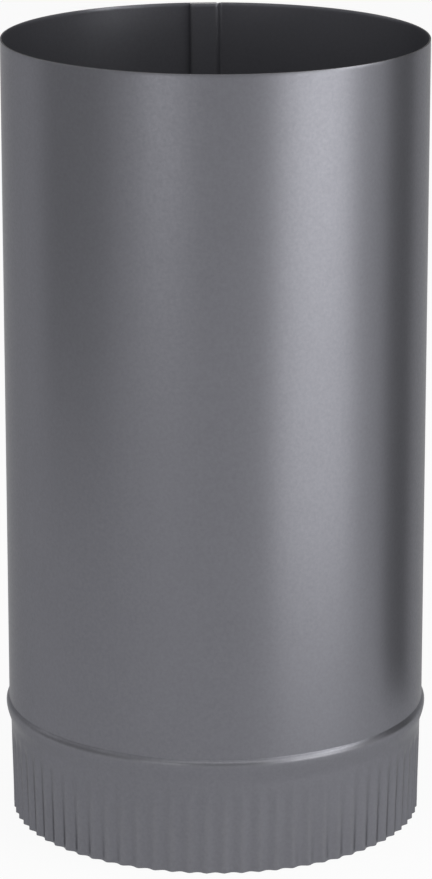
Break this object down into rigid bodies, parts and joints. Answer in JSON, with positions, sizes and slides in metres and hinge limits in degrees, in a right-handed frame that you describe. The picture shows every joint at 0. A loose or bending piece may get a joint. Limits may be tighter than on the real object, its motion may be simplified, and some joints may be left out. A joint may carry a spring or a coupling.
{
  "type": "stove pipe",
  "caption": "Straight single-wall stove pipe of rolled steel sheet with a lock seam, a plain open end, a stop bead and a crimped end that slips into the next pipe.",
  "frame": {"origin": "centre of the crimped end's rim plane, at the bottom of the pipe's axis", "axes": "+Z along the pipe's axis from the crimped end to the plain end, +Y towards the lock seam, +X to the right as the picture sees it"},
  "size_m": [0.1572, 0.1572, 0.292],
  "materials": {
    "stove_paint": "satin dark grey stove paint with a metallic sheen on steel sheet, faintly blue"
  },
  "bodies": {
    "root": {"stove_pipe": "stove_paint"}
  },
  "joints": []
}
